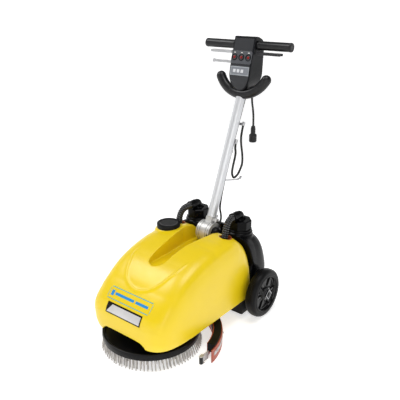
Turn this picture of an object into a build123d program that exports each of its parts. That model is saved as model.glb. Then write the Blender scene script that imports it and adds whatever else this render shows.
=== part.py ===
"""Walk-behind floor scrubber: disc brush, water tank hood, recovery tank, squeegee and folding handle.

Every piece is drawn in millimetres from the brush axis on the floor (X right, Y towards the handle, Z up).
The finished pieces are then moved so that the origin lies on the floor under the middle of the machine.
"""
import math
import os

from build123d import *

# ---- driving dimensions -------------------------------------------------------------------------
ORIGIN_Y = 226.5           # from the brush axis back to the middle of the machine's length
RUN = 0.05                 # radial clearance of a running fit
WALL = 5.0                 # wall of the moulded hood

BRUSH_R = 183.0
BRISTLE_TIP_R = 186.0
BRISTLE_TOP = 36.0
BRUSH_TOP = 62.0
SPINDLE_R = 12.0

GEAR_MODULE = 3.0
SPINDLE_TEETH = 42
PINION_TEETH = 14
MOTOR_Y = (SPINDLE_TEETH + PINION_TEETH) * GEAR_MODULE / 2
GEAR_Z0, GEAR_Z1 = 112.0, 128.0
SHAFT_R = 7.0

HOOD_HALF = 190.0
HOOD_FLOOR = 80.0
DECK_Z0, DECK_Z1 = 84.0, 90.0
BAY_HALF, BAY_FRONT, BAY_TOP = 115.0, -36.0, 260.0
FILLER = (-118.0, 240.0)
FILLER_R = 46.0
HOSE_X, HOSE_Y, HOSE_R = 113.0, 304.0, 13.0

NECK = (107.0, 416.0)
TANK_FLOOR = 118.0
AXLE_Y, AXLE_Z, AXLE_R = 409.0, 100.0, 10.0
WHEEL_R, RIM_R = 100.0, 70.0
WHEEL_X0, WHEEL_X1 = 207.0, 254.0
BEARING_R = 21.0

PIVOT_Y, PIVOT_Z, PIVOT_R = 346.0, 328.0, 42.0
LEAN = 22.2                # handle tube, degrees back from upright
TUBE_R, TUBE_BORE = 19.0, 16.5
TUBE_Z0, TUBE_Z1 = 61.0, 683.0
BAR_Y, BAR_Z, BAR_R = 594.0, 1040.0, 12.5
BAR_HALF, GRIP_R, GRIP_HALF = 195.0, 17.5, 199.0
HEAD_HALF, HEAD_WALL = 49.0, 3.0
PANEL_LEAN = 15.8
CRESCENT_R, CRESCENT_TUBE = 122.4, 20.0
CRESCENT_BOTTOM = (558.0, 853.0)
CRESCENT_LEAN = 10.0
CRESCENT_HALF_ANGLE = 61.0
SWITCH_X = (-32.0, 0.0, 32.0)
SWITCH_R, SWITCH_BORE = 8.3, 8.6

SQUEEGEE_R0, SQUEEGEE_R1 = 236.0, 264.0
BLADE_T, BLADE_TOP, FRONT_BLADE_TOP = 4.0, 52.0, 57.0
LIFT_Y, LIFT_Z = 310.0, 55.0
ARM_X = 60.0
ROLLER = (244.0, -7.0)

WIRE_TOP = (6.0, 28.0)
PIGTAIL = (24.0, 600.0)
SLACK_R, CORD_R = 4.5, 4.2

HANDLE = Pos(0, PIVOT_Y, PIVOT_Z) * Rot(-LEAN, 0, 0)


# ---- drawing helpers ----------------------------------------------------------------------------
def block(x0, x1, y0, y1, z0, z1):
    """A box between two opposite corners."""
    centre = Pos((x0 + x1) / 2, (y0 + y1) / 2, (z0 + z1) / 2)
    return centre * Box(abs(x1 - x0), abs(y1 - y0), abs(z1 - z0))


def post(x, y, radius, z0, z1):
    """An upright cylinder."""
    return Pos(x, y, (z0 + z1) / 2) * Cylinder(radius, z1 - z0)


def rod_x(y, z, radius, x0, x1):
    """A cylinder along X."""
    return Pos((x0 + x1) / 2, y, z) * Rot(0, 90, 0) * Cylinder(radius, abs(x1 - x0))


def rod_y(x, z, radius, y0, y1):
    """A cylinder along Y."""
    return Pos(x, (y0 + y1) / 2, z) * Rot(90, 0, 0) * Cylinder(radius, y1 - y0)


def turned(points, x=0.0, y=0.0):
    """A solid of revolution about an upright axis, from its half section in (radius, height)."""
    section = make_face(Plane.XZ * Polyline(*points, close=True))
    return Pos(x, y, 0) * revolve(section, Axis.Z)


def side_prism(outline, half_width):
    """An outline in (Y, Z), extruded to both sides of the middle."""
    return extrude(Plane.YZ * outline, half_width, both=True)


def ring_sector(r0, r1, z0, z1, a0, a1):
    """Part of an upright ring wall between two angles from +X."""
    mid = math.radians((a0 + a1) / 2)
    start, end = math.radians(a0), math.radians(a1)

    def at(radius, angle):
        return (radius * math.cos(angle), radius * math.sin(angle))

    outline = ThreePointArc(at(r1, start), at(r1, mid), at(r1, end))
    outline += Line(at(r1, end), at(r0, end))
    outline += ThreePointArc(at(r0, end), at(r0, mid), at(r0, start))
    outline += Line(at(r0, start), at(r1, start))
    return Pos(0, 0, z0) * extrude(make_face(outline), z1 - z0)


def both_sides(shape):
    """A piece and its mirror image on the other side of the machine."""
    return [shape, mirror(shape, Plane.YZ)]


def group(pieces):
    """Several separate solids in one node."""
    solids = []
    for piece in pieces:
        solids += list(piece.solids())
    return Compound(solids)


def bend_radii(points, least=0.0):
    """Each corner's largest arc: 0.45 of its shorter run over the tangent of half the turn."""
    radii = []
    for before, here, after in zip(points, points[1:], points[2:]):
        run_in, run_out = Vector(*here) - Vector(*before), Vector(*after) - Vector(*here)
        half_turn = math.radians(run_in.get_angle(run_out) / 2)
        shorter = min(run_in.length, run_out.length)
        radii.append(max(least, 0.45 * shorter / math.tan(half_turn)))
    return radii


def tube_along(name, points, radius, bore=0.0):
    """A round tube along straight runs joined by tangent arcs."""
    radii = bend_radii(points)
    path = FilletPolyline(*points, radius=radii)
    start = Plane(origin=points[0], z_dir=Vector(*points[1]) - Vector(*points[0]))
    tube = sweep(start * Circle(radius), path=path)
    expected = math.pi * radius**2 * path.length
    print(name, "length", round(path.length, 1), "radii", [round(r, 1) for r in radii],
          "volume ratio", round(tube.volume / expected, 4))
    if bore:
        tube -= sweep(start * Circle(bore), path=path)
    return tube


def spur_gear(teeth, first_angle, z0, z1, bore):
    """A spur gear with involute flanks, thinned for backlash; first_angle is one tooth's centre."""
    pitch_r = teeth * GEAR_MODULE / 2
    base_r = pitch_r * math.cos(math.radians(20))
    root_r, tip_r = pitch_r - 1.25 * GEAR_MODULE, pitch_r + 0.95 * GEAR_MODULE
    backlash = 0.7

    def involute(radius):
        pressure = math.acos(min(1.0, base_r / radius))
        return math.tan(pressure) - pressure

    def half_angle(radius):
        at_pitch = math.pi / (2 * teeth) - backlash / (2 * pitch_r)
        return at_pitch + involute(pitch_r) - involute(max(radius, base_r))

    rows = [root_r, (root_r + pitch_r) / 2, pitch_r, tip_r]
    points = []
    for tooth in range(teeth):
        centre = math.radians(first_angle) + 2 * math.pi * tooth / teeth
        flank = [(r, centre - half_angle(r)) for r in rows]
        flank += [(r, centre + half_angle(r)) for r in reversed(rows)]
        points += [(r * math.cos(a), r * math.sin(a)) for r, a in flank]
    wheel = extrude(make_face(Polyline(*points, close=True)), z1 - z0)
    return Pos(0, 0, z0) * wheel - post(0, 0, bore, z0, z1)


# ---- hood (the clean water tank) ----------------------------------------------------------------
def hood_solid(inset):
    """The hood's outer form, or the same form shrunk by a wall."""
    plan = make_face(Polyline((-190, 388), (-190, 60), (-180, -70), (-148, -141), (0, -149),
                              (148, -141), (180, -70), (190, 60), (190, 388), close=True))
    plan = fillet(plan.vertices().filter_by(lambda v: v.Y < 0 and abs(v.X) > 1), 34)
    side = Line((-150, 80), (-150, 165)) + ThreePointArc((-150, 165), (-88, 240), (4, 304))
    side += ThreePointArc((4, 304), (120, 343), (259, 358))
    side += Polyline((259, 358), (318, 352), (352, 312), (374, 262), (386, 206), (386, 108), (372, 80), (-150, 80))
    side = make_face(side)
    front = make_face(Polyline((190, 70), (190, 292), (178, 325), (152, 349), (62, 357), (-62, 357),
                               (-152, 349), (-178, 325), (-190, 292), (-190, 70), close=True))
    if inset:
        plan, side, front = [offset(face, -inset, kind=Kind.INTERSECTION) for face in (plan, side, front)]
    body = extrude(plan, 400) & side_prism(side, 200)
    return body & extrude(Plane.XZ * front, 500, both=True)


def groove_block(grow):
    """The channel down the hood's middle that the folded handle lies in."""
    outline = Polyline((62 + grow, 420), (62 + grow, 262), (44 + grow, 180), (39 + grow, 100), (39 + grow, 55))
    outline += ThreePointArc((39 + grow, 55), (0, 16 - grow), (-39 - grow, 55))
    outline += Polyline((-39 - grow, 55), (-39 - grow, 100), (-44 - grow, 180), (-62 - grow, 262),
                        (-62 - grow, 420), (62 + grow, 420))
    channel = extrude(make_face(outline), 420)
    above_floor = make_face(Polyline((-10, 322 - grow), (16, 311 - grow), (60, 303 - grow), (120, 297 - grow),
                                     (300, 288 - grow), (430, 288 - grow), (430, 420), (-10, 420), close=True))
    return channel & side_prism(above_floor, 100)


def bay_block(grow):
    """The space under the hood that holds the motors, open at the floor and, in the middle, at the back."""
    main = block(-BAY_HALF - grow, BAY_HALF + grow, BAY_FRONT - grow, 345 + grow, 0, BAY_TOP + grow)
    gear_pocket = block(-90 - grow, 90 + grow, -88 - grow, 0, 0, 158 + grow)
    tunnels = block(-150 - grow, 150 + grow, 280 - grow, 345 + grow, 0, 338 + grow)
    back_slot = block(-62 - grow, 62 + grow, 300, 420, 0, 420)
    return main + gear_pocket + tunnels + back_slot


def arch_block(grow):
    """The raised middle of the hood's front edge."""
    outline = make_face(Polyline((-112, 70), (-92, 97), (92, 97), (112, 70), close=True))
    outline = fillet(outline.vertices().group_by(Axis.Y)[-1], 12)
    arch = extrude(Plane.XZ * outline, 140)
    return Pos(0, -20, 0) * arch if not grow else block(-117, 117, -170, -30, 60, 97 + grow)


def body_shell():
    skin = hood_solid(0)
    neck = post(*FILLER, 42, 335, 366)
    water = hood_solid(WALL) - bay_block(WALL) - groove_block(WALL) - arch_block(WALL)
    water -= block(-68, 68, 10, 400, BAY_TOP - 5, 400)
    shell = skin + neck - water - bay_block(0) - groove_block(0) - arch_block(0)
    shell -= post(*FILLER, 36, 300, 370)
    for side in (-1, 1):
        shell -= post(side * HOSE_X, HOSE_Y, 22, 330, 380)
    return max(shell.solids(), key=lambda s: s.volume)


def filler_strainer():
    x, y = FILLER
    cup = turned([(0, 290), (31, 290), (34, 366), (39, 366), (39, 368), (32.5, 368), (29.5, 292), (0, 292)], x, y)
    for ring, count in ((12, 6), (24, 12)):
        for k in range(count):
            turn = 2 * math.pi * k / count
            cup -= post(x + ring * math.cos(turn), y + ring * math.sin(turn), 2.5, 285, 295)
    return cup


def filler_cap():
    x, y = FILLER
    cap = turned([(0, 369), (44, 369), (44, 358), (46, 358), (46, 371), (44, 373.5), (0, 373.5)], x, y)
    for k in range(36):
        turn = 2 * math.pi * k / 36
        cap -= post(x + 47.2 * math.cos(turn), y + 47.2 * math.sin(turn), 1.8, 357, 372)
    return cap - block(x - 30, x + 30, y - 1, y + 1, 372.7, 374)


# ---- chassis and wheels -------------------------------------------------------------------------
def chassis_frame():
    low_box = block(-190, 190, 325, 500, 20, 80) - block(-186, 186, 329, 496, 24, 76)
    back_box = block(-190, 190, 391, 500, 76, TANK_FLOOR) - block(-186, 186, 395, 496, 70, 130)
    deck = block(-BAY_HALF + 1, BAY_HALF - 1, BAY_FRONT + 1, 340, DECK_Z0, DECK_Z1)
    deck += block(-80, 80, -128, -30, DECK_Z0, DECK_Z1)
    deck += block(-58, 58, 340, 392, DECK_Z0, DECK_Z1) + block(-58, 58, 330, 392, 80, DECK_Z0)
    frame = low_box + back_box + deck - post(0, 0, 30, 80, 95) - post(-94, -18, 5, 80, 95)
    for side in (-1, 1):
        for x in (ARM_X - 9, ARM_X + 4):
            ear = block(side * x, side * (x + 5), LIFT_Y, 326, LIFT_Z - 8, LIFT_Z + 8)
            frame += ear + rod_x(LIFT_Y, LIFT_Z, 8, side * x, side * (x + 5))
        frame -= rod_x(LIFT_Y, LIFT_Z, 4 + RUN, side * 45, side * 75)
        frame -= rod_x(AXLE_Y, AXLE_Z, AXLE_R, side * 180, side * 200)
    return frame


def axle():
    """The axle with the square cap on each end."""
    square = Pos(259, AXLE_Y, AXLE_Z) * Rot(40, 0, 0) * Box(5, 34, 34)
    square = fillet(square.edges().filter_by(Axis.X), 5) + rod_x(AXLE_Y, AXLE_Z, 7, 261.5, 265)
    return group([rod_x(AXLE_Y, AXLE_Z, AXLE_R, -256.5, 256.5)] + both_sides(square))


def axle_brackets():
    plate = block(190, 196, AXLE_Y - 32, AXLE_Y + 32, 70, 130) + rod_x(AXLE_Y, AXLE_Z, 16, 196, 204)
    plate -= rod_x(AXLE_Y, AXLE_Z, AXLE_R, 180, 210)
    for y in (-24, 24):
        for z in (-20, 20):
            plate += rod_x(AXLE_Y + y, AXLE_Z + z, 5, 196, 200)
    return group(both_sides(plate))


def ball_bearing(radius, bore, width):
    """A bearing's two races and shields as one ring, its faces grooved."""
    half = width / 2
    mid = (radius + bore) / 2
    return turned([(bore, -half), (mid - 2.5, -half), (mid - 2.5, 1 - half), (mid + 2.5, 1 - half),
                   (mid + 2.5, -half), (radius, -half), (radius, half), (mid + 2.5, half),
                   (mid + 2.5, half - 1), (mid - 2.5, half - 1), (mid - 2.5, half), (bore, half)])


def ball_bearings():
    pieces = []
    for x in (213, 248):
        ring = Pos(x, AXLE_Y, AXLE_Z) * Rot(0, 90, 0) * ball_bearing(BEARING_R, AXLE_R, 12)
        pieces += both_sides(ring)
    for z in (98, 142):
        pieces.append(Pos(0, 0, z) * ball_bearing(26, SPINDLE_R + RUN, 12))
    return group(pieces)


def tyre(side):
    half, mid = (WHEEL_X1 - WHEEL_X0) / 2, (WHEEL_X0 + WHEEL_X1) / 2
    ring = turned([(RIM_R, -half), (88, -half), (96, 7 - half), (WHEEL_R, 14 - half), (WHEEL_R, half - 14),
                   (96, half - 7), (88, half), (RIM_R, half)])
    return Pos(side * mid, AXLE_Y, AXLE_Z) * Rot(0, 90, 0) * ring


def rim(side):
    half, mid = (WHEEL_X1 - WHEEL_X0) / 2, (WHEEL_X0 + WHEEL_X1) / 2
    bore = BEARING_R + RUN
    wheel = turned([(bore, -half), (30, -half), (30, -8), (62, -8), (62, 3 - half), (RIM_R, 3 - half),
                    (RIM_R, half - 3), (62, half - 3), (62, -4), (30, -4), (30, half), (bore, half)])
    for k in range(6):
        spoke = block(28, 64, -4, 4, -5, half - 8)
        wheel += Rot(0, 0, 60 * k) * spoke
    return Pos(side * mid, AXLE_Y, AXLE_Z) * Rot(0, side * 90, 0) * wheel


def frame_bolts():
    """Hexagon bolts on the deck and round the motor mounts."""
    places = [(x, y) for x in (-104, 104) for y in (100, 330)]
    places += [(x, -116) for x in (-60, 60)] + [(x, 368) for x in (-44, 44)]
    head = extrude(RegularPolygon(7, 6), 5)
    return group([Pos(x, y, DECK_Z1) * head for x, y in places])


# ---- brush drive --------------------------------------------------------------------------------
def brush_bristles():
    return turned([(62, 0), (BRISTLE_TIP_R, 0), (BRUSH_R, BRISTLE_TOP), (62, BRISTLE_TOP)])


def brush_block():
    return turned([(SPINDLE_R, BRISTLE_TOP), (BRUSH_R, BRISTLE_TOP), (BRUSH_R, BRUSH_TOP),
                   (176, BRUSH_TOP), (172, 53), (52, 53), (52, 58), (SPINDLE_R, 58)])


def drive_spindle():
    shaft = post(0, 0, SPINDLE_R, 38, 150) + post(0, 0, 42, 58, 64)
    return group([shaft, spur_gear(SPINDLE_TEETH, 90 + 180 / SPINDLE_TEETH, GEAR_Z0, GEAR_Z1, SPINDLE_R)])


def motor_pinion():
    pinion = spur_gear(PINION_TEETH, 270, GEAR_Z0, GEAR_Z1, SHAFT_R)
    shaft = post(0, 0, SHAFT_R, 100, 251) + post(0, 0, 34, 168, 232)
    return Pos(0, MOTOR_Y, 0) * group([shaft, pinion])


def casing_outline(shrink):
    """The gearbox in plan: a large round end over the brush and a small one under the motor."""
    wide = Circle(80 - shrink) + Pos(0, MOTOR_Y / 2) * Rectangle(2 * (52 - shrink), MOTOR_Y)
    return wide + Pos(0, MOTOR_Y) * Circle(52 - shrink)


def gearbox_housing():
    box = Pos(0, 0, DECK_Z1) * extrude(casing_outline(0), 60)
    box -= Pos(0, 0, 104) * extrude(casing_outline(7), 32)
    box -= post(0, 0, 26, 92, 104) + post(0, 0, 26, 136, 148) + post(0, 0, 16, 80, 160)
    return box - post(0, MOTOR_Y, 12, 95, 160)


def brush_motor():
    can = turned([(SHAFT_R + RUN, 150), (58, 150), (58, 240), (50, 254), (SHAFT_R + RUN, 254),
                  (SHAFT_R + RUN, 247), (48, 247), (54, 238), (54, 236), (40, 236), (40, 164), (54, 164),
                  (54, 156), (SHAFT_R + RUN, 156)])
    return Pos(0, MOTOR_Y, 0) * can


def vacuum_motor():
    can = turned([(30, DECK_Z1), (62, DECK_Z1), (62, 128), (46, 136), (46, 196), (38, 202), (6 + RUN, 202),
                  (6 + RUN, 196), (40, 196), (40, 132), (56, 126), (56, 96), (30, 96)])
    return Pos(0, 258, 0) * (can - rod_x(0, 112, 13, 50, 70))


def vacuum_fan():
    fan = post(0, 0, 6, 98, 204) + post(0, 0, 24, 140, 188) + post(0, 0, 52, 102, 105)
    for k in range(12):
        fan += Rot(0, 0, 30 * k) * block(12, 50, -1, 1, 105, 118)
    return Pos(0, 258, 0) * fan


def water_valve():
    """Solenoid valve and the pipe that feeds water over the brush."""
    valve = block(-104, -84, 20, 62, DECK_Z1, 112) + post(-94, 41, 12, 112, 138)
    pipe = rod_y(-94, 100, 5, -18, 20) + post(-94, -18, 5, 66, 105)
    return valve + pipe


# ---- recovery tank ------------------------------------------------------------------------------
def tank_solid(inset):
    plan = make_face(Polyline((-190, 340), (190, 340), (190, 470), (176, 512), (140, 528), (-140, 528),
                              (-176, 512), (-190, 470), close=True))
    side = make_face(Polyline((391, TANK_FLOOR), (391, 216), (380, 270), (358, 314), (346, 335), (450, 335),
                              (482, 314), (508, 270), (528, 200), (528, 184), (512, 170), (512, TANK_FLOOR),
                              close=True))
    front = make_face(Polyline((190, 100), (190, 205), (182, 262), (166, 305), (140, 335), (-140, 335),
                               (-166, 305), (-182, 262), (-190, 205), (-190, 100), close=True))
    if inset:
        plan, side, front = [offset(face, -inset, kind=Kind.INTERSECTION) for face in (plan, side, front)]
    body = extrude(plan, 400) & side_prism(side, 200)
    return body & extrude(Plane.XZ * front, 600, both=True)


def recovery_tank():
    tank = tank_solid(0)
    inside = tank_solid(4) - block(-51, 51, 330, 436, 285, 400) - block(-66, 66, 330, 389, 285, 400)
    for side in (-1, 1):
        x, y = side * NECK[0], NECK[1]
        tank += turned([(0, 320), (50, 320), (50, 328), (45, 330), (45, 340), (48, 342), (48, 346), (42, 350),
                        (0, 350)], x, y)
        inside += post(x, y, 37, 320, 360)
    return tank - inside - block(-47, 47, 330, 432, 289, 400) - block(-62, 62, 330, 385, 289, 400)


def tank_ring(side):
    """The eight-sided ring that clamps an elbow on a tank neck."""
    ring = Pos(0, 0, 352) * extrude(RegularPolygon(47, 8, rotation=22.5), 36)
    ring = chamfer(ring.edges().group_by(Axis.Z)[-1], 3) - post(0, 0, 43, 350, 381) - post(0, 0, 24, 350, 400)
    return Pos(side * NECK[0], NECK[1], 0) * ring


def hose_elbows():
    x, y = NECK
    elbow = post(x, y, 42, 350, 380.5) - post(x, y, 13, 345, 400)
    elbow += post(x, y, 17, 380, 408) - post(x, y, 13, 345, 408)
    elbow += Pos(x, y, 408) * Sphere(17) - Pos(x, y, 408) * Sphere(13)
    elbow += rod_y(x, 408, 17, 362, y) - rod_y(x, 408, 13, 360, y) - post(x, y, 13, 345, 408)
    elbow -= post(x, y, 13, 345, 408)
    return group(both_sides(elbow - rod_y(x, 408, 13, 360, y)))


def suction_hose():
    route = [(107, 362, 408), (107, 337, 408), (111, 313, 382), (113, 303, 345), (113, 304, 298)]
    return tube_along("suction_hose", route, HOSE_R, 10)


def vacuum_hose():
    route = [(-107, 362, 408), (-107, 326, 408), (-111, 303, 386), (-113, 299, 350), (-113, 304, 298)]
    return tube_along("vacuum_hose", route, HOSE_R, 10)


def float_cage():
    """The cage under the vacuum neck that keeps the float ball in line."""
    x, y = -NECK[0], NECK[1]
    cage = turned([(26, 348), (36, 348), (36, 350), (14, 350), (14, 346), (26, 346)], x, y)
    for k in range(4):
        turn = math.radians(45 + 90 * k)
        cage += post(x + 24 * math.cos(turn), y + 24 * math.sin(turn), 2.5, 262, 347)
    return cage + turned([(18, 258), (28, 258), (28, 262), (18, 262)], x, y)


def float_ball():
    return Pos(-NECK[0], NECK[1], 284) * Sphere(20)


# ---- squeegee -----------------------------------------------------------------------------------
def squeegee_body():
    """The channel with its suction nozzle, and the strap that clamps the front blade."""
    body = ring_sector(SQUEEGEE_R0, SQUEEGEE_R1, 26, 60, 11, 169)
    body -= ring_sector(SQUEEGEE_R0 + 4, SQUEEGEE_R1 - 4, 20, 54, 12.5, 167.5)
    nozzle = post(0, 250, 12, 59, 70) - post(0, 250, 9, 50, 80)
    front = SQUEEGEE_R0 - BLADE_T
    strap = ring_sector(front - 2.5, front, 30, 50, 20, 160)
    return group([body - post(0, 250, 9, 50, 62) + nozzle, strap])


def squeegee_blade(r0, r1, top, a0):
    return ring_sector(r0, r1, 0.4, top, a0, 180 - a0)


def squeegee_arms():
    """Lift arms from the squeegee body back to the hinge, with their pins."""
    arm = Polyline((236, 60), (262, 60), (300, 48), (316, 48), (318, 55), (314, 62), (270, 70), (236, 70), (236, 60))
    plate = Pos(ARM_X, 0, 0) * side_prism(make_face(arm), 3) - block(0, 100, 200, 264.6, 40, 60)
    plate = plate + rod_x(LIFT_Y, LIFT_Z, 4, ARM_X - 9.5, ARM_X + 9.5)
    return group(both_sides(plate))


def squeegee_hardware():
    """Outer clamp strap, its bolts and the two end brackets with their roller pins."""
    outer = SQUEEGEE_R1 + BLADE_T
    pieces = [ring_sector(outer, outer + 1.5, 24, 38, 9, 171)]
    for angle in (14, 38, 62, 90, 118, 142, 166):
        pieces.append(Rot(0, 0, angle) * rod_x(0, 31, 4, outer + 1.5, outer + 4.5))
    x, y = ROLLER
    plate = block(x - 1.5, x + 1.5, 3, 34, 8, 40)
    for z in (8, 38):
        plate += block(x - 7, x + 7, y - 2, 6, z, z + 2) + post(x, y, 7, z, z + 2)
    plate += post(x, y, 2.5, 8, 40)
    for z in (15, 33):
        plate -= rod_x(16, z, 2.5, x - 4, x + 4)
    return group(pieces + both_sides(plate))


def squeegee_roller(side):
    x, y = ROLLER
    return Pos(side * x, y, 0) * (post(0, 0, 7, 10.4, 37.6) - post(0, 0, 2.5 + RUN, 9, 39))


# ---- handle pivot -------------------------------------------------------------------------------
WIRE_R = 4.0
WIRE_END = (43.5, 4.0)


def pivot_bracket():
    """Two fixed discs on columns; the right one has lock holes for the upright and folded handle."""
    sides = []
    for x0, x1 in ((-31, -15), (15, 31)):
        cheek = rod_x(PIVOT_Y, PIVOT_Z, PIVOT_R, x0, x1) + block(x0, x1, 331, 361, DECK_Z1, PIVOT_Z)
        foot = block(min(x0, x0 * 1.7), max(x1, x1 * 1.7), 331, 361, DECK_Z1, 97)
        sides.append(cheek + foot - rod_x(PIVOT_Y, PIVOT_Z, 8 + RUN, -60, 60))
    for lean in (0, 88):
        sides[1] -= Pos(0, PIVOT_Y, PIVOT_Z) * Rot(lean, 0, 0) * post(24, 0, 4.5, 32, 50)
    return group(sides)


def pivot_pin():
    return rod_x(PIVOT_Y, PIVOT_Z, 8, -31.3, 46) + rod_x(PIVOT_Y, PIVOT_Z, 15, -37, -31.3)


def pivot_cap():
    """The round cover over the cable entry on the pivot's right."""
    dome = turned([(8, 31.4), (26, 31.4), (26, 42), (22, 51), (14, 56), (0, 57.5), (0, 54.5), (12, 53.5),
                   (19.5, 49), (23, 41), (23, 34.4), (8, 34.4)])
    entry = HANDLE * post(WIRE_END[0], WIRE_END[1], WIRE_R, 15, 40)
    return Pos(0, PIVOT_Y, PIVOT_Z) * Rot(0, 90, 0) * dome - entry


def pivot_knuckle():
    hub = rod_x(0, 0, PIVOT_R, -14.6, 14.6) + block(-14.6, 14.6, -16, 16, 0, TUBE_Z0)
    hub += post(0, 0, TUBE_BORE, TUBE_Z0 - 4, 120)
    hub += block(14, 33, -8, 8, 46, 58)
    hub -= rod_x(0, 0, 8, -20, 20) + post(24, 0, 4 + RUN, 40, 60)
    return HANDLE * hub


def lock_pin():
    return HANDLE * (post(24, 0, 4, 42.6, 72) + post(24, 0, 5, 68, 74))


def handle_tube():
    return HANDLE * (post(0, 0, TUBE_R, TUBE_Z0, TUBE_Z1) - post(0, 0, TUBE_BORE, 0, 700))


# ---- handle head --------------------------------------------------------------------------------
def head_solid(inset):
    side = make_face(Polyline((577, 1073), (545, 960), (538, 925), (541, 884), (562, 874), (602, 882), (630, 925),
                              (640, 1052), (628, 1073), close=True))
    front = ThreePointArc((HEAD_HALF, 925), (0, 876), (-HEAD_HALF, 925))
    front += Polyline((-HEAD_HALF, 925), (-HEAD_HALF, 1080), (HEAD_HALF, 1080), (HEAD_HALF, 925))
    front = make_face(front)
    if inset:
        side, front = [offset(face, -inset, kind=Kind.INTERSECTION) for face in (side, front)]
    return side_prism(side, HEAD_HALF - inset) & extrude(Plane.XZ * front, 700, both=True)


def head_shell():
    shell = head_solid(0) - head_solid(HEAD_WALL)
    shell -= rod_x(BAR_Y, BAR_Z, BAR_R, -60, 60)
    shell -= post(*PIGTAIL, CORD_R, 860, 900) + HANDLE * post(*WIRE_TOP, WIRE_R + 1, 590, 640)
    return shell - HANDLE * post(0, 0, TUBE_R, 500, TUBE_Z1 + 1)


def lever_ears(x, z, y0, y1):
    """A pair of lugs beside a lever's eye, on the side of the head."""
    side = 1 if x > 0 else -1
    lugs = []
    for y in (y0 - 4.4, y1 + 0.4):
        lug = block(min(side * HEAD_HALF, x), max(side * HEAD_HALF, x), y, y + 4, z - 7, z + 7)
        lugs.append(lug + rod_y(x, z, 7, y, y + 4))
    return lugs[0] + lugs[1] - rod_y(x, z, 2.5 + RUN, y0 - 10, y1 + 10)


def head_split(front):
    """The half space in front of or behind the plane through the T-bar."""
    if front:
        return block(-100, 100, 450, BAR_Y, 800, 1100)
    return block(-100, 100, BAR_Y, 700, 800, 1100)


LEVER_X, LEVER_Z = 60.0, 1012.0
LEVER_Y0, LEVER_Y1 = 570.0, 590.0
RELEASE_X, RELEASE_Z = -60.0, 973.0
RELEASE_Y0, RELEASE_Y1 = 572.0, 580.0


def head_housing():
    shell = head_shell() & head_split(True)
    for side in (-1, 1):
        shell += lever_ears(side * LEVER_X, LEVER_Z, LEVER_Y0, LEVER_Y1) & block(-100, 100, 400, BAR_Y, 900, 1100)
    shell += lever_ears(RELEASE_X, RELEASE_Z, RELEASE_Y0, RELEASE_Y1)
    for x in SWITCH_X:
        shell -= panel_place() * (Pos(x, 5, 0) * Rot(90, 0, 0) * Cylinder(10.5, 20))
    return max(shell.solids(), key=lambda s: s.volume)


def head_cover():
    cover = head_shell() & head_split(False)
    return max(cover.solids(), key=lambda s: s.volume)


def panel_place():
    """The place of the switch panel: on the head's front face, its local -Y pointing out."""
    return Pos(0, 554.9, 995) * Rot(-PANEL_LEAN, 0, 0)


def switch_panel():
    plate = Pos(0, -1.25, 0) * Box(92, 2.5, 50)
    plate = fillet(plate.edges().filter_by(Axis.Y), 6)
    pieces = []
    for x in SWITCH_X:
        plate -= Pos(x, 0, 0) * Rot(90, 0, 0) * Cylinder(10.5, 20)
        bezel = Pos(x, -3.8, 0) * Rot(90, 0, 0) * Cylinder(12.5, 2.6)
        bezel += Pos(x, 3, 0) * Rot(90, 0, 0) * Cylinder(10.4, 12)
        pieces.append(bezel - Pos(x, 0, 0) * Rot(90, 0, 0) * Cylinder(SWITCH_BORE, 40))
    return panel_place() * group([plate] + pieces)


def switch(x):
    """A round rocker: a slice of a ball, so that its rim clears the bezel as it tips."""
    ball = Sphere(SWITCH_R) & Box(30, 7, 30)
    return panel_place() * (Pos(x, -3, 0) * Rot(-8, 0, 0) * ball)


def grip_bar():
    bar = rod_x(BAR_Y, BAR_Z, BAR_R, -BAR_HALF, BAR_HALF) - rod_x(BAR_Y, BAR_Z, BAR_R - 2, -200, 200)
    return bar


def hand_grips():
    grip = turned([(BAR_R, 50), (GRIP_R, 50), (GRIP_R, GRIP_HALF - 4), (GRIP_R - 4, GRIP_HALF), (0, GRIP_HALF),
                   (0, BAR_HALF), (BAR_R, BAR_HALF)])
    return group(both_sides(Pos(0, BAR_Y, BAR_Z) * Rot(0, 90, 0) * grip))


def grip_lever(side):
    """A squeeze lever under a grip, folded from sheet, with its pin."""
    top = block(LEVER_X, 163, LEVER_Y0, LEVER_Y1, LEVER_Z + 3, LEVER_Z + 5)
    lips = block(LEVER_X, 163, LEVER_Y0, LEVER_Y0 + 2, LEVER_Z - 5, LEVER_Z + 5)
    lips += block(LEVER_X, 163, LEVER_Y1 - 2, LEVER_Y1, LEVER_Z - 5, LEVER_Z + 5)
    eye = rod_y(LEVER_X, LEVER_Z, 6, LEVER_Y0, LEVER_Y1)
    lever = top + lips + eye + rod_y(LEVER_X, LEVER_Z, 2.5, LEVER_Y0 - 4.4, LEVER_Y1 + 3.8)
    return lever if side > 0 else mirror(lever, Plane.YZ)


def release_lever():
    """The long lever on the left that pulls the lock pin."""
    bar = block(-150, RELEASE_X, RELEASE_Y0 + 1, RELEASE_Y1 - 1, RELEASE_Z - 5, RELEASE_Z + 5)
    bar += rod_y(-150, RELEASE_Z, 7, RELEASE_Y0 + 1, RELEASE_Y1 - 1)
    eye = rod_y(RELEASE_X, RELEASE_Z, 6.5, RELEASE_Y0, RELEASE_Y1)
    return bar + eye + rod_y(RELEASE_X, RELEASE_Z, 2.5, RELEASE_Y0 - 4.4, RELEASE_Y1 + 4.4)


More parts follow.
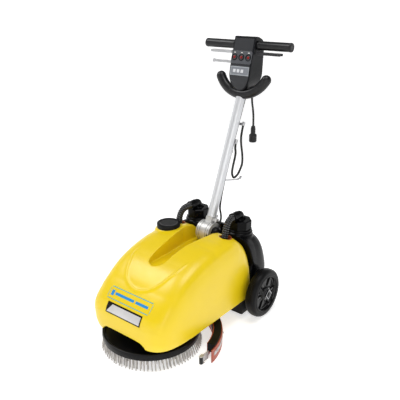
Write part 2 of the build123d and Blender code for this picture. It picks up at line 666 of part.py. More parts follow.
def crescent_grip():
    """The bent grab handle under the head: part of a ring with round ends, and a boss for the tube."""
    arc = Pos(0, -CRESCENT_R, 0) * Rot(0, 90, 0) * Circle(CRESCENT_TUBE)
    arc = Rot(0, 0, -CRESCENT_HALF_ANGLE) * arc
    ring = revolve(arc, Axis.Z, 2 * CRESCENT_HALF_ANGLE)
    for side in (-1, 1):
        turn = math.radians(CRESCENT_HALF_ANGLE)
        tip = (side * CRESCENT_R * math.sin(turn), -CRESCENT_R * math.cos(turn), 0)
        ring += Pos(*tip) * Sphere(CRESCENT_TUBE)
    y, z = CRESCENT_BOTTOM
    ring = Pos(0, y, z) * Rot(-CRESCENT_LEAN, 0, 0) * Pos(0, 0, CRESCENT_R) * Rot(90, 0, 0) * ring
    boss = HANDLE * post(0, 0, 23, 556, 592)
    grip = ring + boss - head_solid(0) - HANDLE * post(0, 0, TUBE_R, 500, 700)
    return max(grip.solids(), key=lambda s: s.volume)


# ---- cables -------------------------------------------------------------------------------------
HOOK_Z = 215.0             # the hook's height on the tube
HOOK_TURN = -23.0          # it points back and to the right
CLIP_Z = (150.0, 330.0)
TOP_CLIP_Z = 447.0
WIRE_LINE = (0.0, 28.0)    # the wiring's line behind the tube
SLACK_TOP = (20.0, 36.0)
SLACK_END = (22.0, 11.0)


def wiring_cable():
    """The lead from the head down the back of the tube into the pivot's hollow cover."""
    route = [(*WIRE_TOP, 616), (*WIRE_LINE, 520), (*WIRE_LINE, 118), (32, 23, 70), (*WIRE_END, 44), (*WIRE_END, 18)]
    return HANDLE * tube_along("wiring_cable", route, WIRE_R)


def slack_cable():
    """The lead's spare length, hung in the hook: from the upper clip down, round the hook and up again."""
    route = [(*SLACK_TOP, 460), (*SLACK_TOP, 425), (24, 40, 384), (27, 70, 338), (27, 88, 300), (25, 85, 274),
             (24, 78, 250), (22, 56, 231), (22, 35, 250), (22, 31, 276), (22, 30, 334), (*SLACK_END, 356),
             (*SLACK_END, 381)]
    return HANDLE * tube_along("slack_cable", route, SLACK_R)


def saddle(z, height):
    """The part of a clip that hugs the back of the tube."""
    return post(0, 0, TUBE_R + 2, z, z + height) & block(-20, 20, 4, 40, z, z + height)


def cable_clips():
    """Saddles on the back of the tube: three with an eye for the lead, one with the hook, and the lead's grommet."""
    clips = []
    for z in (*CLIP_Z, TOP_CLIP_Z):
        clip = saddle(z, 10) + block(-4, 4, 18, 26, z, z + 10) + post(*WIRE_LINE, WIRE_R + 2, z, z + 10)
        if z == TOP_CLIP_Z:
            clip += post(*SLACK_TOP, SLACK_R + 1.5, z, z + 16) + block(0, 18, 26, 36, z, z + 10)
            clip -= post(*SLACK_TOP, SLACK_R, z - 1, z + 13)
        clips.append(clip - post(*WIRE_LINE, WIRE_R, z - 1, z + 17) - post(0, 0, TUBE_R, z - 1, z + 17))
    arm = Polyline((15, HOOK_Z - 2), (80, HOOK_Z + 14), (93, HOOK_Z + 22), (95, HOOK_Z + 34), (91, HOOK_Z + 34),
                   (89, HOOK_Z + 25), (78, HOOK_Z + 18), (15, HOOK_Z + 3), (15, HOOK_Z - 2))
    hook = saddle(HOOK_Z - 7, 14) + Rot(0, 0, HOOK_TURN) * side_prism(make_face(arm), 5)
    clips.append(hook - post(0, 0, TUBE_R, HOOK_Z - 8, HOOK_Z + 40) - post(*WIRE_LINE, WIRE_R + 0.3, 200, 250))
    grommet = post(*SLACK_END, SLACK_R + 2, 368, 386) - post(*SLACK_END, SLACK_R, 360, 381)
    clips.append(grommet - post(0, 0, TUBE_R, 360, 390))
    return HANDLE * group(clips)


def pigtail_gland():
    return turned([(CORD_R, 856), (5.5, 856), (8, 875), (8, 885), (CORD_R, 885)], *PIGTAIL) - head_solid(0)


def pigtail_cord():
    route = [(*PIGTAIL, 890), (*PIGTAIL, 840), (25, 602, 812), (29, 605, 782), (32, 605, 752), (32, 605, 720)]
    return tube_along("pigtail_cord", route, CORD_R)


def pigtail_socket():
    return turned([(0, 652), (14, 652), (16, 655), (16, 682), (10, 685), (9.5, 716), (7, 720), (0, 720)], 32, 605)


# ---- writing ------------------------------------------------------------------------------------
PARTS = {
    "chassis_frame": chassis_frame,
    "body_shell": body_shell,
    "filler_strainer": filler_strainer,
    "filler_cap": filler_cap,
    "axle": axle,
    "axle_brackets": axle_brackets,
    "ball_bearings": ball_bearings,
    "tyre_left": lambda: tyre(-1),
    "tyre_right": lambda: tyre(1),
    "rim_left": lambda: rim(-1),
    "rim_right": lambda: rim(1),
    "frame_bolts": frame_bolts,
    "brush_bristles": brush_bristles,
    "brush_block": brush_block,
    "drive_spindle": drive_spindle,
    "motor_pinion": motor_pinion,
    "gearbox_housing": gearbox_housing,
    "brush_motor": brush_motor,
    "vacuum_motor": vacuum_motor,
    "vacuum_fan": vacuum_fan,
    "water_valve": water_valve,
    "recovery_tank": recovery_tank,
    "tank_ring_left": lambda: tank_ring(-1),
    "tank_ring_right": lambda: tank_ring(1),
    "hose_elbows": hose_elbows,
    "suction_hose": suction_hose,
    "vacuum_hose": vacuum_hose,
    "float_cage": float_cage,
    "float_ball": float_ball,
    "squeegee_body": squeegee_body,
    "squeegee_front_blade": lambda: squeegee_blade(SQUEEGEE_R0 - BLADE_T, SQUEEGEE_R0, FRONT_BLADE_TOP, 12),
    "squeegee_rear_blade": lambda: squeegee_blade(SQUEEGEE_R1, SQUEEGEE_R1 + BLADE_T, BLADE_TOP, 6),
    "squeegee_arms": squeegee_arms,
    "squeegee_hardware": squeegee_hardware,
    "squeegee_roller_left": lambda: squeegee_roller(-1),
    "squeegee_roller_right": lambda: squeegee_roller(1),
    "pivot_bracket": pivot_bracket,
    "pivot_pin": pivot_pin,
    "pivot_cap": pivot_cap,
    "pivot_knuckle": pivot_knuckle,
    "lock_pin": lock_pin,
    "handle_tube": handle_tube,
    "head_housing": head_housing,
    "head_cover": head_cover,
    "switch_panel": switch_panel,
    "switch_left": lambda: switch(SWITCH_X[0]),
    "switch_middle": lambda: switch(SWITCH_X[1]),
    "switch_right": lambda: switch(SWITCH_X[2]),
    "grip_bar": grip_bar,
    "hand_grips": hand_grips,
    "grip_lever_left": lambda: grip_lever(-1),
    "grip_lever_right": lambda: grip_lever(1),
    "release_lever": release_lever,
    "crescent_grip": crescent_grip,
    "wiring_cable": wiring_cable,
    "slack_cable": slack_cable,
    "cable_clips": cable_clips,
    "pigtail_gland": pigtail_gland,
    "pigtail_cord": pigtail_cord,
    "pigtail_socket": pigtail_socket,
}


def main():
    os.makedirs("parts", exist_ok=True)
    for name, make in PARTS.items():
        export_step(Pos(0, -ORIGIN_Y, 0) * make(), f"parts/{name}.step")


main()
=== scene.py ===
"""Floor scrubber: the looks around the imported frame.

Lengths here are millimetres from the brush axis on the floor, as in the part's drawing; the helper at()
turns them into the frame's metres. -Y is the front and +X is to the right of someone who looks at the front.
Each make_ function builds one sub-part and rides it on its body.
"""
import math
import random

import bmesh
import bpy
import numpy as np
from mathutils import Matrix, Vector


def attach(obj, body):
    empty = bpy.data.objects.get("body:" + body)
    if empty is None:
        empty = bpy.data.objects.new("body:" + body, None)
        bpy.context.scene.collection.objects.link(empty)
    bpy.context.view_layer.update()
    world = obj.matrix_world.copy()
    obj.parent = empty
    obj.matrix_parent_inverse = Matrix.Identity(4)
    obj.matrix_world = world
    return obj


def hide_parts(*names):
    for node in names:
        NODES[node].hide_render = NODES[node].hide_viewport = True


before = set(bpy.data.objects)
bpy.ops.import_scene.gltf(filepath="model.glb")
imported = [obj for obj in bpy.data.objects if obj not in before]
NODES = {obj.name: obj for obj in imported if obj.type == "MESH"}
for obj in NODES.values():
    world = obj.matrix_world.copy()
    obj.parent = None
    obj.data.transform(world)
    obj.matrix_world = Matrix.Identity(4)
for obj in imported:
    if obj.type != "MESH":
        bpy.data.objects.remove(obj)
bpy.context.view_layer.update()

ORIGIN_Y = 226.5
LEAN = math.radians(22.2)
PIVOT = (0.0, 346.0, 328.0)
PIVOT_RADIUS = 42.0
PANEL_LEAN = math.radians(15.8)
PANEL_MIDDLE = (0.0, 554.9, 995.0)
HALF_WIDTH = 190
FILLER = (-118, 240, 0)
TANK_NECK_X, TANK_NECK_Y = 107, 416
HOSE_HOLE_X, HOSE_HOLE_Y = 116, 304
WHEEL_X = 230.5
AXLE = (0, 409, 100)
HEAD_HALF = 49
SWITCHES = ((-32, "left"), (0, "middle"), (32, "right"))


# ---- places -----------------------------------------------
def at(x, y, z):
    """A point of the drawing, in the frame's metres."""
    return Vector((x / 1000, (y - ORIGIN_Y) / 1000, z / 1000))


def on_handle(x, y, z):
    """A point given along the handle tube (z) and behind it (y), in drawing millimetres."""
    return (x, PIVOT[1] + y * math.cos(LEAN) + z * math.sin(LEAN),
            PIVOT[2] - y * math.sin(LEAN) + z * math.cos(LEAN))


def smooth(t):
    """The smooth step from 0 to 1, for numbers and arrays."""
    t = np.clip(t, 0.0, 1.0)
    return t * t * (3 - 2 * t)


# ---- meshes -----------------------------------------------
def mesh_object(name, points, faces, place=at):
    """A mesh piece from points in drawing millimetres."""
    data = bpy.data.meshes.new(name)
    data.from_pydata([place(*p) for p in points], [], faces)
    data.update()
    piece = bpy.data.objects.new(name, data)
    bpy.context.scene.collection.objects.link(piece)
    return piece


def outward(piece):
    """Turns every face of a closed mesh outwards."""
    work = bmesh.new()
    work.from_mesh(piece.data)
    bmesh.ops.recalc_face_normals(work, faces=work.faces)
    work.to_mesh(piece.data)
    work.free()
    return piece


def shade(piece, angle=32):
    """Smooth shading, with edges sharper than the angle kept crisp."""
    piece.data.shade_smooth()
    piece.data.set_sharp_from_angle(angle=math.radians(angle))
    return piece


def bevel(piece, width, segments=3, angle=35):
    """Rounded edges, width in millimetres."""
    rounding = piece.modifiers.new("round", "BEVEL")
    rounding.width = width / 1000
    rounding.segments = segments
    rounding.limit_method = "ANGLE"
    rounding.angle_limit = math.radians(angle)
    rounding.harden_normals = False
    return piece


def apply_all(piece):
    """Bakes a piece's modifiers into its mesh."""
    bpy.context.view_layer.update()
    graph = bpy.context.evaluated_depsgraph_get()
    baked = bpy.data.meshes.new_from_object(piece.evaluated_get(graph), depsgraph=graph)
    old = piece.data
    piece.modifiers.clear()
    piece.data = baked
    bpy.data.meshes.remove(old)
    return piece


def boolean(piece, other, how="DIFFERENCE"):
    """Cuts, joins or intersects with another closed mesh, which is used up."""
    step = piece.modifiers.new("cut", "BOOLEAN")
    step.operation = how
    step.object = other
    step.solver = "EXACT"
    apply_all(piece)
    bpy.data.objects.remove(other)
    return piece


def melt(piece, voxel, rounds=4):
    """Remeshes at a voxel size in millimetres and relaxes the skin, which rounds every edge."""
    remesh = piece.modifiers.new("voxels", "REMESH")
    remesh.mode = "VOXEL"
    remesh.voxel_size = voxel / 1000
    relax = piece.modifiers.new("relax", "SMOOTH")
    relax.factor = 0.5
    relax.iterations = rounds
    apply_all(piece)
    piece.data.shade_smooth()
    return piece


def join(name, pieces):
    """Several meshes as one piece."""
    work = bmesh.new()
    for piece in pieces:
        work.from_mesh(piece.data)
    data = bpy.data.meshes.new(name)
    work.to_mesh(data)
    work.free()
    for piece in pieces:
        bpy.data.objects.remove(piece)
    whole = bpy.data.objects.new(name, data)
    bpy.context.scene.collection.objects.link(whole)
    return whole


def coords(piece):
    """The vertices in drawing millimetres, as an array."""
    flat = np.empty(len(piece.data.vertices) * 3)
    piece.data.vertices.foreach_get("co", flat)
    points = flat.reshape(-1, 3) * 1000
    points[:, 1] += ORIGIN_Y
    return points


def set_coords(piece, points):
    """Writes back what coords gave."""
    points = points.copy()
    points[:, 1] -= ORIGIN_Y
    piece.data.vertices.foreach_set("co", (points / 1000).ravel())
    piece.data.update()


def prism_faces(count):
    """The faces of a closed prism whose two ends have count points each."""
    faces = [tuple(range(count)), tuple(reversed(range(count, 2 * count)))]
    faces += [(k, (k + 1) % count, (k + 1) % count + count, k + count) for k in range(count)]
    return faces


def rounded(half_a, half_b, radius, steps):
    """The outline of a rectangle with round corners, each in so many points."""
    outline = []
    for a, b, first in ((1, 1, 0), (-1, 1, 90), (-1, -1, 180), (1, -1, 270)):
        for step in range(steps):
            angle = math.radians(first + 90 / (steps - 1) * step)
            outline.append((a * (half_a - radius) + radius * math.cos(angle),
                            b * (half_b - radius) + radius * math.sin(angle)))
    return outline


def prism(name, outline, low, high, axis):
    """A closed outline extruded along an axis. axis Z takes (x, y), X takes (y, z), Y takes (x, z)."""
    orders = {
        "Z": lambda a, b, c: (a, b, c),
        "X": lambda a, b, c: (c, a, b),
        "Y": lambda a, b, c: (a, c, b),
    }
    order = orders[axis]
    points = [order(a, b, low) for a, b in outline] + [order(a, b, high) for a, b in outline]
    return outward(mesh_object(name, points, prism_faces(len(outline))))


def box(name, x0, x1, y0, y1, z0, z1):
    """A plain block, used as a cutter."""
    return prism(name, [(x0, y0), (x1, y0), (x1, y1), (x0, y1)], z0, z1, "Z")


def lathe(name, profile, centre, axis="Z", around=64, place=at):
    """A solid of revolution from (radius, height) points. axis is X, Y, Z or a rotation matrix."""
    turns = {"Z": Matrix.Identity(3), "X": Matrix.Rotation(math.pi / 2, 3, "Y"),
             "-X": Matrix.Rotation(-math.pi / 2, 3, "Y"), "-Y": Matrix.Rotation(math.pi / 2, 3, "X")}
    turn = turns[axis] if isinstance(axis, str) else axis
    points, faces, rows = [], [], []
    for radius, height in profile:
        if radius < 1e-6:
            rows.append([len(points)] * around)
            points.append(Vector((0, 0, height)))
            continue
        rows.append(list(range(len(points), len(points) + around)))
        for k in range(around):
            angle = 2 * math.pi * k / around
            points.append(Vector((radius * math.cos(angle), radius * math.sin(angle), height)))
    for low, high in zip(rows, rows[1:]):
        for k in range(around):
            after = (k + 1) % around
            face = []
            for index in (low[k], low[after], high[after], high[k]):
                if index not in face:
                    face.append(index)
            if len(face) > 2:
                faces.append(tuple(face))
    middle = Vector(centre)
    return mesh_object(name, [tuple(middle + turn @ p) for p in points], faces, place)


def curve_points(points, count):
    """A smooth line through a few drawing points, as evenly numbered samples."""
    route = [Vector(p) for p in points]
    samples = []
    for k in range(count):
        t = k / (count - 1) * (len(route) - 1)
        i = min(int(t), len(route) - 2)
        u = t - i
        a = route[max(i - 1, 0)]
        b, c = route[i], route[i + 1]
        d = route[min(i + 2, len(route) - 1)]
        samples.append(0.5 * ((2 * b) + (c - a) * u + (2 * a - 5 * b + 4 * c - d) * u * u
                              + (3 * b - a - 3 * c + d) * u ** 3))
    return samples


def sweep(name, samples, radius, around=24):
    """A tube along samples. radius is a number or a function of the distance run."""
    size = radius if callable(radius) else (lambda run: radius)
    points, faces = [], []
    side = None
    run = 0.0
    for k, here in enumerate(samples):
        ahead = samples[min(k + 1, len(samples) - 1)] - samples[max(k - 1, 0)]
        ahead.normalize()
        if side is None:
            side = ahead.orthogonal()
        side = (side - ahead * side.dot(ahead)).normalized()
        up = ahead.cross(side)
        if k:
            run += (here - samples[k - 1]).length
        for j in range(around):
            angle = 2 * math.pi * j / around
            points.append(here + (side * math.cos(angle) + up * math.sin(angle)) * size(run))
    for k in range(len(samples) - 1):
        for j in range(around):
            after = (j + 1) % around
            faces.append((k * around + j, k * around + after, (k + 1) * around + after,
                          (k + 1) * around + j))
    faces.append(tuple(reversed(range(around))))
    faces.append(tuple(range((len(samples) - 1) * around, len(samples) * around)))
    return outward(mesh_object(name, [tuple(p) for p in points], faces))


def reach_of(profile, centre, turn):
    """How far a profile of (y, z) points lies from its centre, in a direction (radians from +Y)."""
    y0, z0 = centre
    angles = [math.atan2(z - z0, y - y0) for y, z in reversed(profile)]
    lengths = [math.hypot(z - z0, y - y0) for y, z in reversed(profile)]
    return float(np.interp(turn, angles, lengths))


def power_of(powers, turn):
    """How square a skin's section is, in a direction."""
    return float(np.interp(math.degrees(turn), [a for a, _ in powers], [p for _, p in powers]))


def fan_skin(name, centre, profile, powers, around=120, across=80, dissolve=False):
    """A closed form whose sections fan out from a line through its bottom, each one a superellipse."""
    y0, z0 = centre
    points, faces = [], []
    for i in range(around + 1):
        turn = math.pi * i / around
        reach = reach_of(profile, centre, turn)
        power = power_of(powers, turn)
        for j in range(across + 1):
            s = math.pi / 2 * (2 * j / across - 1)
            x = HALF_WIDTH * math.copysign(abs(math.sin(s)) ** (2 / power), s)
            rho = reach * abs(math.cos(s)) ** (2 / power)
            points.append((x, y0 + rho * math.cos(turn), z0 + rho * math.sin(turn)))
    row = across + 1
    for i in range(around):
        for j in range(across):
            faces.append((i * row + j, i * row + j + 1, (i + 1) * row + j + 1, (i + 1) * row + j))
    faces.append(tuple(range(row)) + tuple(range(around * row + across - 1, around * row, -1)))
    skin = mesh_object(name, points, faces)
    work = bmesh.new()
    work.from_mesh(skin.data)
    bmesh.ops.remove_doubles(work, verts=work.verts, dist=0.0002)
    if dissolve:
        bmesh.ops.dissolve_degenerate(work, edges=work.edges, dist=0.00005)
    bmesh.ops.recalc_face_normals(work, faces=work.faces)
    work.to_mesh(skin.data)
    work.free()
    return skin


def sheet(name, columns, rows, layers, spot):
    """A thin closed plate from a grid of points: spot gives each one from its column, row and layer."""
    points = [spot(i, j, layer) for layer in layers for j in range(rows + 1) for i in range(columns + 1)]
    row, size = columns + 1, (columns + 1) * (rows + 1)
    faces = []
    for j in range(rows):
        for i in range(columns):
            a = j * row + i
            faces.append((a, a + 1, a + row + 1, a + row))
            faces.append((a + size, a + row + size, a + row + 1 + size, a + 1 + size))
    rim = list(range(columns)) + [row * j + columns for j in range(rows)]
    rim += [size - 1 - i for i in range(columns)] + [row * (rows - j) for j in range(rows)]
    faces += [(a, b, b + size, a + size) for a, b in zip(rim, rim[1:] + rim[:1])]
    return outward(mesh_object(name, points, faces))


def finish_piece(piece, body, slot, material, *nodes):
    """Material and body for a piece, and the nodes it stands for. The slot argument is not used."""
    piece.data.materials.clear()
    piece.data.materials.append(material)
    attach(piece, body)
    if nodes:
        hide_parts(*nodes)
    return piece


# ---- materials --------------------------------------------
def link_noise(tree, scale, detail=4.0, stretch=(1, 1, 1), rough=0.55):
    """A noise texture in the object's own coordinates."""
    place = tree.nodes.new("ShaderNodeTexCoord")
    mapping = tree.nodes.new("ShaderNodeMapping")
    mapping.inputs["Scale"].default_value = stretch
    noise = tree.nodes.new("ShaderNodeTexNoise")
    noise.inputs["Scale"].default_value = scale
    noise.inputs["Detail"].default_value = detail
    noise.inputs["Roughness"].default_value = rough
    tree.links.new(place.outputs["Object"], mapping.inputs["Vector"])
    tree.links.new(mapping.outputs["Vector"], noise.inputs["Vector"])
    return noise


def ramp(tree, source, low, high, at_low=0.3, at_high=0.7):
    """Two colours or greys mixed by a texture."""
    node = tree.nodes.new("ShaderNodeValToRGB")
    node.color_ramp.elements[0].position = at_low
    node.color_ramp.elements[1].position = at_high
    node.color_ramp.elements[0].color = (*low, 1)
    node.color_ramp.elements[1].color = (*high, 1)
    tree.links.new(source, node.inputs["Fac"])
    return node


def surface(name, colour, rough, vary=0.12, metal=0.0, grain=900, grain_height=0.02, blotch=9,
            stretch=(1, 1, 1), rough_vary=0.08, coat=0.0, specular=0.5):
    """A plastic, rubber or metal with uneven colour, uneven gloss and a fine grain."""
    material = bpy.data.materials.new(name)
    material.use_nodes = True
    tree = material.node_tree
    shader = tree.nodes["Principled BSDF"]
    shader.inputs["Metallic"].default_value = metal
    shader.inputs["Coat Weight"].default_value = coat
    shader.inputs["Coat Roughness"].default_value = 0.15
    shader.inputs["Specular IOR Level"].default_value = specular
    patches = link_noise(tree, blotch, 5.0, stretch)
    low = tuple(max(0.0, c * (1 - vary)) for c in colour)
    high = tuple(min(1.0, c * (1 + vary)) for c in colour)
    tint = ramp(tree, patches.outputs["Fac"], low, high)
    tree.links.new(tint.outputs["Color"], shader.inputs["Base Color"])
    fine = link_noise(tree, grain, 3.0, stretch)
    gloss = tree.nodes.new("ShaderNodeMapRange")
    gloss.inputs["To Min"].default_value = max(0.02, rough - rough_vary)
    gloss.inputs["To Max"].default_value = min(1.0, rough + rough_vary)
    scuffs = link_noise(tree, blotch * 6, 6.0, stretch)
    tree.links.new(scuffs.outputs["Fac"], gloss.inputs["Value"])
    tree.links.new(gloss.outputs["Result"], shader.inputs["Roughness"])
    relief = tree.nodes.new("ShaderNodeBump")
    relief.inputs["Strength"].default_value = 1.0
    relief.inputs["Distance"].default_value = grain_height / 1000
    tree.links.new(fine.outputs["Fac"], relief.inputs["Height"])
    tree.links.new(relief.outputs["Normal"], shader.inputs["Normal"])
    return material


def make_materials():
    """Every material, under the short name that the pieces use."""
    return {
        "yellow": surface("hood_yellow", (0.82, 0.595, 0.004), 0.34, 0.04, grain=700, grain_height=0.05,
                          coat=0.08, blotch=5),
        "black": surface("black_moulded", (0.0035, 0.0035, 0.004), 0.34, 0.2, grain=800, grain_height=0.04,
                         specular=0.16),
        "tank": surface("tank_black", (0.0022, 0.0023, 0.0028), 0.22, 0.2, grain=500, grain_height=0.02,
                        specular=0.09),
        "grey": surface("panel_grey", (0.020, 0.021, 0.024), 0.36, 0.1, grain=1100, grain_height=0.03,
                        specular=0.35),
        "switch_plate": surface("switch_plate", (0.055, 0.058, 0.066), 0.36, 0.1, grain=1100,
                                grain_height=0.02),
        "channel": surface("channel_black", (0.004, 0.004, 0.0045), 0.55, 0.2, grain=800, grain_height=0.04,
                           specular=0.12),
        "head": surface("head_charcoal", (0.007, 0.0075, 0.009), 0.34, 0.15, grain_height=0.05,
                        specular=0.13),
        "foam": surface("grip_rubber", (0.005, 0.005, 0.006), 0.33, 0.2, grain=1400, grain_height=0.06,
                        specular=0.34),
        "tyre": surface("tyre_rubber", (0.0035, 0.0035, 0.0038), 0.40, 0.3, grain=600, grain_height=0.04,
                        blotch=14, specular=0.13),
        "rim": surface("rim_plastic", (0.002, 0.002, 0.0023), 0.16, 0.2, grain_height=0.01, specular=0.3),
        "red_rubber": surface("blade_rubber", (0.36, 0.060, 0.026), 0.45, 0.2, grain=700, grain_height=0.06),
        "bristle": surface("bristle", (0.52, 0.495, 0.47), 0.5, 0.2, grain=400, grain_height=0.05,
                           blotch=60),
        "steel": surface("zinc_steel", (0.44, 0.44, 0.45), 0.32, 0.12, metal=1.0, grain=600,
                         grain_height=0.01, blotch=30),
        "alloy": surface("cast_alloy", (0.62, 0.615, 0.60), 0.42, 0.12, metal=0.55, grain=420,
                         grain_height=0.05, blotch=20),
        "tube": surface("anodised_tube", (0.62, 0.63, 0.65), 0.32, 0.02, metal=0.45, grain=300,
                        grain_height=0.004, stretch=(3, 3, 0.4), blotch=2, rough_vary=0.03),
        "white": surface("white_moulded", (0.78, 0.78, 0.75), 0.4, 0.05),
        "dark_metal": surface("dark_paint", (0.012, 0.012, 0.014), 0.35, 0.15, metal=0.2),
        "cable": surface("cable_rubber", (0.005, 0.005, 0.006), 0.38, 0.2, grain=1200, grain_height=0.03,
                         specular=0.35),
        "hose": surface("hose_black", (0.003, 0.003, 0.0035), 0.10, 0.2, grain_height=0.0, specular=0.6,
                        rough_vary=0.03, coat=0.2),
        "red": surface("switch_red", (0.20, 0.004, 0.004), 0.18, 0.15, grain_height=0.005, specular=0.35),
        "teal": surface("sticker_teal", (0.05, 0.42, 0.46), 0.4, 0.05),
        "blue": surface("sticker_blue", (0.012, 0.26, 0.62), 0.4, 0.05),
        "pale": surface("plate_pale", (0.60, 0.59, 0.59), 0.35, 0.10, blotch=12, metal=0.3),
        "bracket": surface("bracket_zinc", (0.50, 0.49, 0.49), 0.45, 0.15, blotch=30, metal=0.25),
        "plate_field": surface("plate_field", (0.16, 0.17, 0.19), 0.4, 0.12, blotch=40),
        "silver_bar": surface("plate_mark", (0.55, 0.56, 0.58), 0.4, 0.1, blotch=40),
        "silver": surface("plate_silver", (0.30, 0.32, 0.34), 0.38, 0.12, metal=0.4, blotch=40),
        "orange": surface("bay_orange", (0.30, 0.06, 0.004), 0.4, 0.1),
    }


MAT = make_materials()


# ---- camera, light and floor ------------------------------
def make_camera():
    """The camera in front of the machine, to its right and above it."""
    data = bpy.data.cameras.new("camera")
    data.sensor_width = 36.0
    data.lens = 48.9528
    data.clip_start = 0.05
    data.clip_end = 60.0
    camera = bpy.data.objects.new("camera", data)
    camera.location = at(1229.34, -1251.21, 1231.18)
    camera.rotation_euler = (math.radians(90 - 20.87), 0.0, math.radians(38.51))
    bpy.context.scene.collection.objects.link(camera)
    bpy.context.scene.camera = camera


def area_light(name, place, target, size, watts, colour=(1, 1, 1)):
    """A square lamp, placed in metres and turned to its target."""
    data = bpy.data.lights.new(name, "AREA")
    data.shape = "SQUARE"
    data.size = size
    data.energy = watts
    data.color = colour
    lamp = bpy.data.objects.new(name, data)
    lamp.location = place
    lamp.rotation_euler = (Vector(target) - Vector(place)).to_track_quat("-Z", "Y").to_euler()
    bpy.context.scene.collection.objects.link(lamp)


def make_studio():
    """A dim white room, four soft lamps and a round white cove that glows a little."""
    world = bpy.data.worlds.new("studio")
    world.use_nodes = True
    background = world.node_tree.nodes["Background"]
    background.inputs["Color"].default_value = (1.0, 1.0, 1.0, 1)
    background.inputs["Strength"].default_value = 0.20
    bpy.context.scene.world = world
    area_light("key", (-1.7, -0.7, 2.8), (0, -0.1, 0.3), 1.2, 34)
    area_light("side", (2.2, -1.9, 1.7), (0, 0.1, 0.3), 1.3, 13, (1.0, 0.99, 0.97))
    area_light("top", (0.5, 0.0, 3.1), (0, 0.0, 0.3), 1.4, 34)
    area_light("front", (0.9, -3.0, 1.5), (0, 0.0, 0.5), 1.2, 5)
    bpy.context.scene.view_settings.view_transform = "Standard"
    cove = [(0, -0.4), (7000, -0.4), (7500, 60), (7900, 260), (8150, 600), (8250, 1100), (8260, 3200),
            (8300, 3200), (8300, -40), (0, -40)]
    stage = lathe("backdrop", cove, (0, ORIGIN_Y, 0), "Z", 96)
    white = surface("floor_white", (0.86, 0.86, 0.86), 0.9, 0.01, grain_height=0.0, rough_vary=0.0,
                    specular=0.1)
    glow = white.node_tree.nodes["Principled BSDF"]
    glow.inputs["Emission Color"].default_value = (1.0, 1.0, 1.0, 1)
    glow.inputs["Emission Strength"].default_value = 0.60
    stage.data.materials.append(white)
    shade(outward(stage), 30)


# ---- hood -------------------------------------------------
HOOD_CENTRE = (200.0, 80.0)
HOOD_PROFILE = [(-147, 80), (-147.5, 120), (-146, 158), (-140, 176), (-128, 195), (-107, 216), (-90, 233),
                (-61, 256), (-28, 282), (4, 302), (48, 321), (82, 333), (124, 343), (183, 351), (240, 355),
                (290, 355), (328, 345), (358, 318), (376, 280), (387, 236), (391, 190), (391, 140),
                (386, 108), (374, 80)]
HOOD_POWER = [(0, 24), (22, 18), (40, 11), (60, 7.5), (90, 6.6), (110, 6.6), (131, 7.0), (150, 7.6),
              (165, 7.6), (175, 6.6), (180, 5.4)]


def groove_cutter():
    """The channel for the folded handle: rounded at the front, its floor falling to the rear."""
    half = [(16, 0), (19, 14), (27, 26), (40, 34), (60, 38), (100, 39.5), (150, 43), (190, 49), (262, 62),
            (430, 64)]
    left = [(-w, y) for y, w in half]
    right = [(w, y) for y, w in reversed(half[1:])]
    channel = prism("groove", left + right, 250, 460, "Z")
    floor = [(-20, 330), (6, 315), (14, 305), (24, 299), (40, 296), (70, 294.5), (120, 293), (200, 289),
             (340, 283), (440, 281), (440, 470), (-20, 470)]
    return boolean(channel, prism("groove_floor", floor, -90, 90, "X"), "INTERSECT")


def arch_cutter():
    """The raised middle of the front edge."""
    half = [(0, 101), (60, 101), (84, 99), (94, 95), (101, 88), (107, 80), (112, 60)]
    outline = [(x, z) for x, z in half] + [(-x, z) for x, z in reversed(half[1:])]
    return prism("arch", outline, -220, -40, "Y")


EMBOSS = [(-113, 70), (-113, 44), (-108, 22), (-101, 4), (-87, -28), (-69, -50), (-47, -63), (-24, -71),
          (0, -75), (24, -71), (47, -63), (69, -50), (87, -28), (101, 4), (108, 22), (113, 44), (117, 80)]


def emboss_height(points):
    """A soft raised band in the shape of a U on the front of the hood."""
    line = np.array(EMBOSS, dtype=float)
    where = points[:, :2]
    nearest = np.full(len(points), 1e9)
    for a, b in zip(line, line[1:]):
        step = b - a
        along = np.clip(((where - a) @ step) / (step @ step), 0, 1)
        nearest = np.minimum(nearest, np.linalg.norm(where - (a + along[:, None] * step), axis=1))
    fade = smooth((95 - where[:, 1]) / 60)
    ridge = np.exp(-(nearest / 5.0) ** 2)
    upper = points[:, 2] > 225
    return 3.0 * ridge * fade * upper


def make_hood():
    """The yellow moulding: skin, filler neck, groove, front arch, rear slot, hose holes and the bay."""
    hood = fan_skin("body_hood", HOOD_CENTRE, HOOD_PROFILE, HOOD_POWER, 150, 90, dissolve=True)
    boolean(hood, lathe("neck", [(0, 320), (58, 320), (56, 344), (50, 351), (46.5, 353), (45, 356),
                                 (45, 361), (42, 363), (42, 366), (0, 366)], FILLER), "UNION")
    boolean(hood, groove_cutter())
    boolean(hood, arch_cutter())
    boolean(hood, box("rear_slot", -50, 50, 330, 420, 60, 460))
    for side in (-1, 1):
        hole = [(side * HOSE_HOLE_X + 25 * math.cos(a), HOSE_HOLE_Y + 24 * math.sin(a))
                for a in np.linspace(0, 2 * math.pi, 33)[:-1]]
        boolean(hood, prism("hose_hole", hole, 270, 420, "Z"))
    boolean(hood, box("bay", -112, 112, -60, 340, 40, 220))
    melt(hood, 2.3, 4)
    points = coords(hood)
    points[:, 2] += emboss_height(points)
    set_coords(hood, points)
    return finish_piece(hood, "chassis", "hood_yellow", MAT["yellow"], "body_shell")


